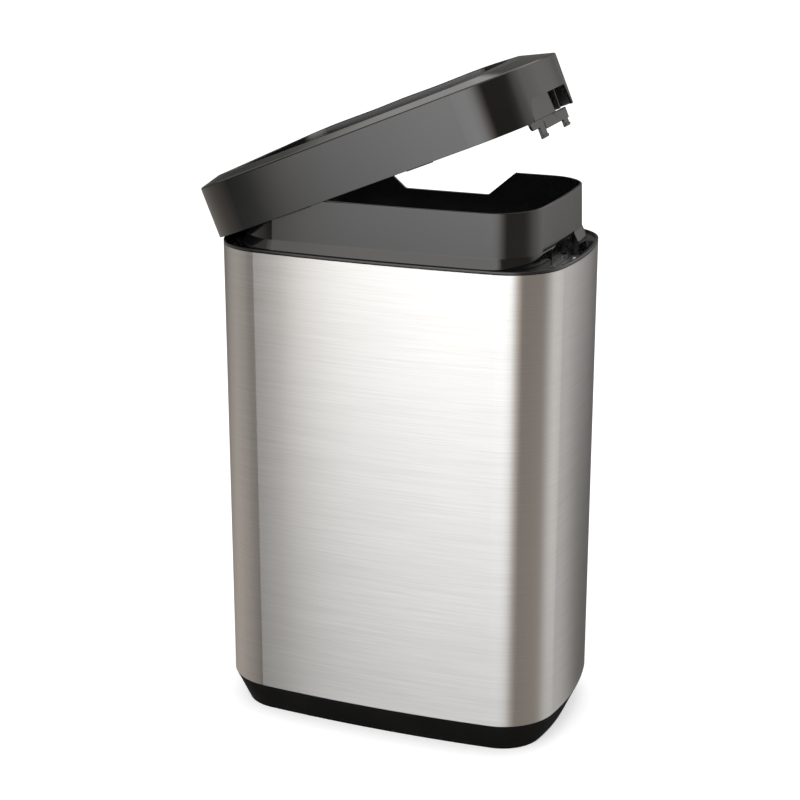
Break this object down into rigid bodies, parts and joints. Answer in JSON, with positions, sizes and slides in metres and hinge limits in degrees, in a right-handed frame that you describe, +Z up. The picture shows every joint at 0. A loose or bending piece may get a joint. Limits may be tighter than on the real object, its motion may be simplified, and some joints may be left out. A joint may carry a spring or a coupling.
{
  "type": "waste bin",
  "caption": "Tall free-standing waste bin: brushed steel body with bowed sides, notched bag collar, and a side-hinged hood lid with a wide opening and a sprung latch.",
  "frame": {"origin": "on the floor under the middle of the steel body", "axes": "+Z up, +X to the right along the width, the bowed front faces -Y"},
  "size_m": [0.4252, 0.243, 0.7512],
  "materials": {
    "brushed_steel_sheet": "stainless steel with a fine brushed grain running round the body",
    "plain_steel": "plain zinc-plated steel",
    "grey_plastic": "dark grey moulded plastic with a fine satin grain",
    "dark_plastic": "near-black moulded plastic",
    "black_plastic": "matte black moulded plastic",
    "bush_plastic": "white bearing plastic",
    "rubber": "black rubber"
  },
  "bodies": {
    "bin": {"steel_mantle": "brushed_steel_sheet", "seam_strip": "plain_steel", "seam_rivets": "plain_steel", "base_tray": "black_plastic", "foot_pads": "rubber", "base_screws": "plain_steel", "top_frame": "grey_plastic", "frame_screws": "plain_steel", "bag_collar": "grey_plastic", "collar_screws": "plain_steel", "strike_plate": "plain_steel", "strike_screws": "plain_steel", "hinge_bracket_front": "plain_steel", "hinge_bracket_rear": "plain_steel", "hinge_bracket_screws": "plain_steel", "hinge_pin": "plain_steel"},
    "lid": {"lid_shell": "grey_plastic", "opening_liner": "grey_plastic", "liner_screws": "plain_steel", "hinge_arm_front": "plain_steel", "hinge_arm_rear": "plain_steel", "hinge_arm_screws": "plain_steel", "hinge_bushes": "bush_plastic", "grip_pocket": "dark_plastic", "grip_screws": "plain_steel", "lid_bumpers": "rubber", "latch_pin": "plain_steel", "latch_spring": "plain_steel"},
    "latch": {"latch_plate": "grey_plastic"}
  },
  "joints": [
    {"name": "lid_hinge", "type": "hinge", "parent": "bin", "child": "lid", "pos_m": [-0.1906, 0, 0.5395], "axis": [0, -1, 0], "range_deg": [-22.4, 67.6]},
    {"name": "latch_press", "type": "hinge", "parent": "lid", "child": "latch", "pos_m": [0.14241, 0, 0.71786], "axis": [0, 1, 0], "range_deg": [0, 5], "stiffness_Nm_per_rad": 0.6, "springref_deg": -5.73, "deforming": ["latch_spring"]}
  ]
}
